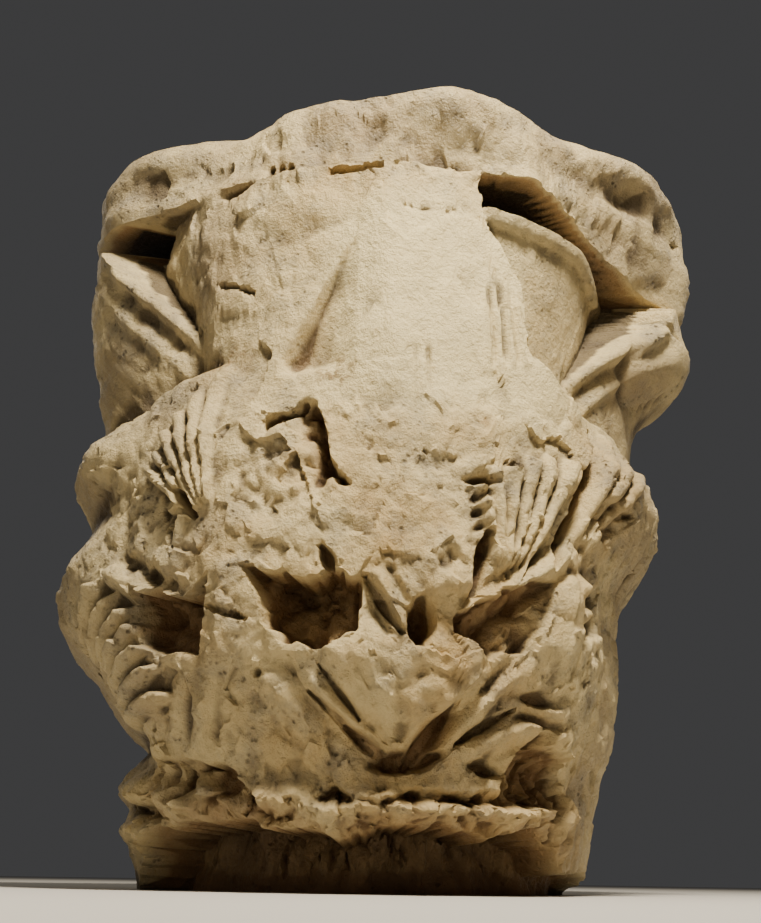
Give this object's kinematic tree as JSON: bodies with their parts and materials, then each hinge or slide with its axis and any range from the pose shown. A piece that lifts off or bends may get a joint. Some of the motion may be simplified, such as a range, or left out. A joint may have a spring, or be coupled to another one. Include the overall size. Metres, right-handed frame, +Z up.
{
  "type": "corinthian capital",
  "caption": "Broken stone column capital with a flared bell, rows of acanthus leaves, volute stumps and a hollow-sided abacus; it crowned a round shaft.",
  "frame": {"origin": "centre of the lower bed, where the capital stood on its shaft", "axes": "+Z up to the upper bed, X and Y parallel to the sides of the abacus, the broken front corner at +X -Y"},
  "size_m": [0.7316, 0.7376, 0.9],
  "materials": {
    "limestone": "weathered, carved and broken"
  },
  "bodies": {
    "root": {"capital": "limestone"}
  },
  "joints": []
}
